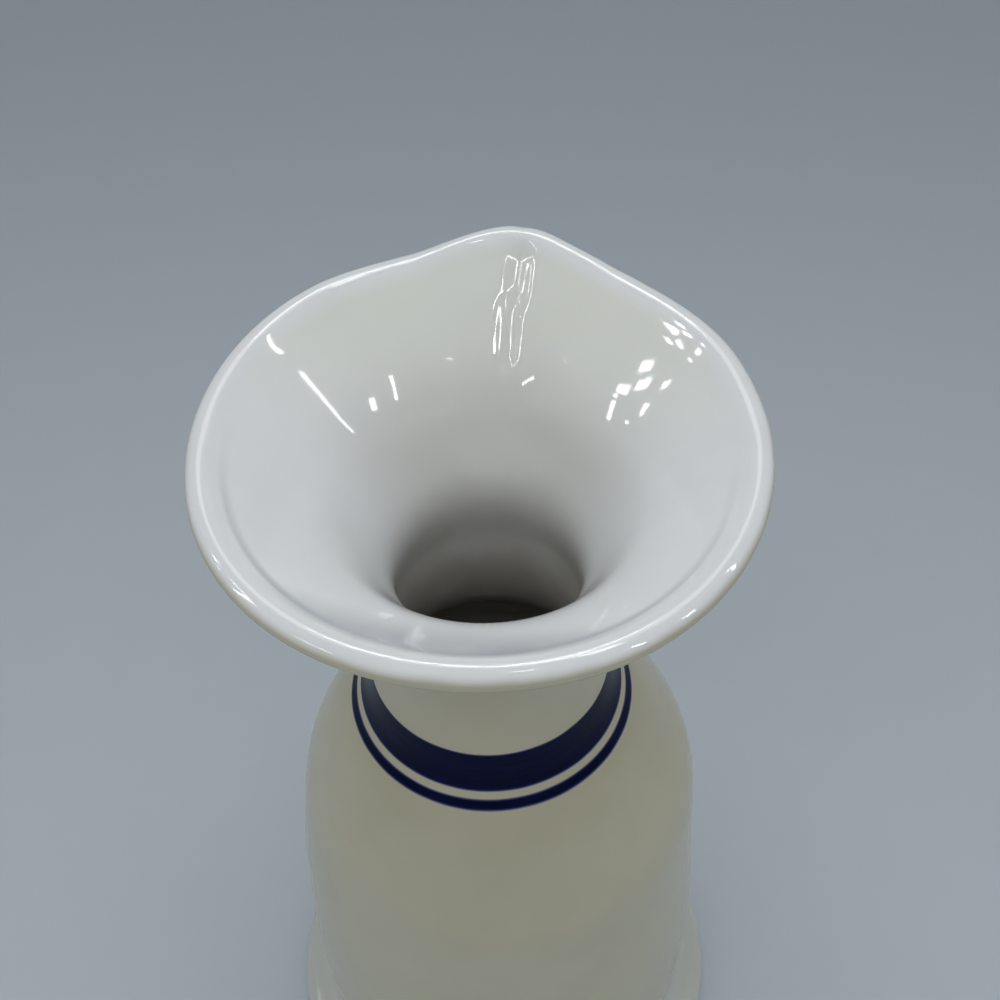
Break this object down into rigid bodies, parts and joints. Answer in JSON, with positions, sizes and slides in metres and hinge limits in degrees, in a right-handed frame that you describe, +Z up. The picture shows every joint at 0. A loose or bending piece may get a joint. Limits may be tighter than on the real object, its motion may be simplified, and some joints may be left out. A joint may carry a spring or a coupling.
{
  "type": "carafe",
  "caption": "Handle-less ceramic carafe with a trumpet mouth, pulled pouring lip, sloping shoulder, two cobalt neck bands and a flared foot.",
  "frame": {"origin": "on the axis of revolution, in the plane of the foot's seat", "axes": "+Z up along the axis of revolution, +Y towards the pouring lip, +X to the right with the lip pointing away from the viewer"},
  "size_m": [0.11, 0.11, 0.2215],
  "materials": {
    "cream_glaze": "clear glossy glaze over warm cream clay",
    "white_glaze": "glossy opaque white lining glaze",
    "cobalt": "glossy dark cobalt blue under clear glaze"
  },
  "bodies": {
    "root": {"foot_ring": "cream_glaze", "body": "cream_glaze", "neck_and_mouth": "cream_glaze", "wide_band": "cobalt", "narrow_band": "cobalt", "white_lining": "white_glaze"}
  },
  "joints": []
}
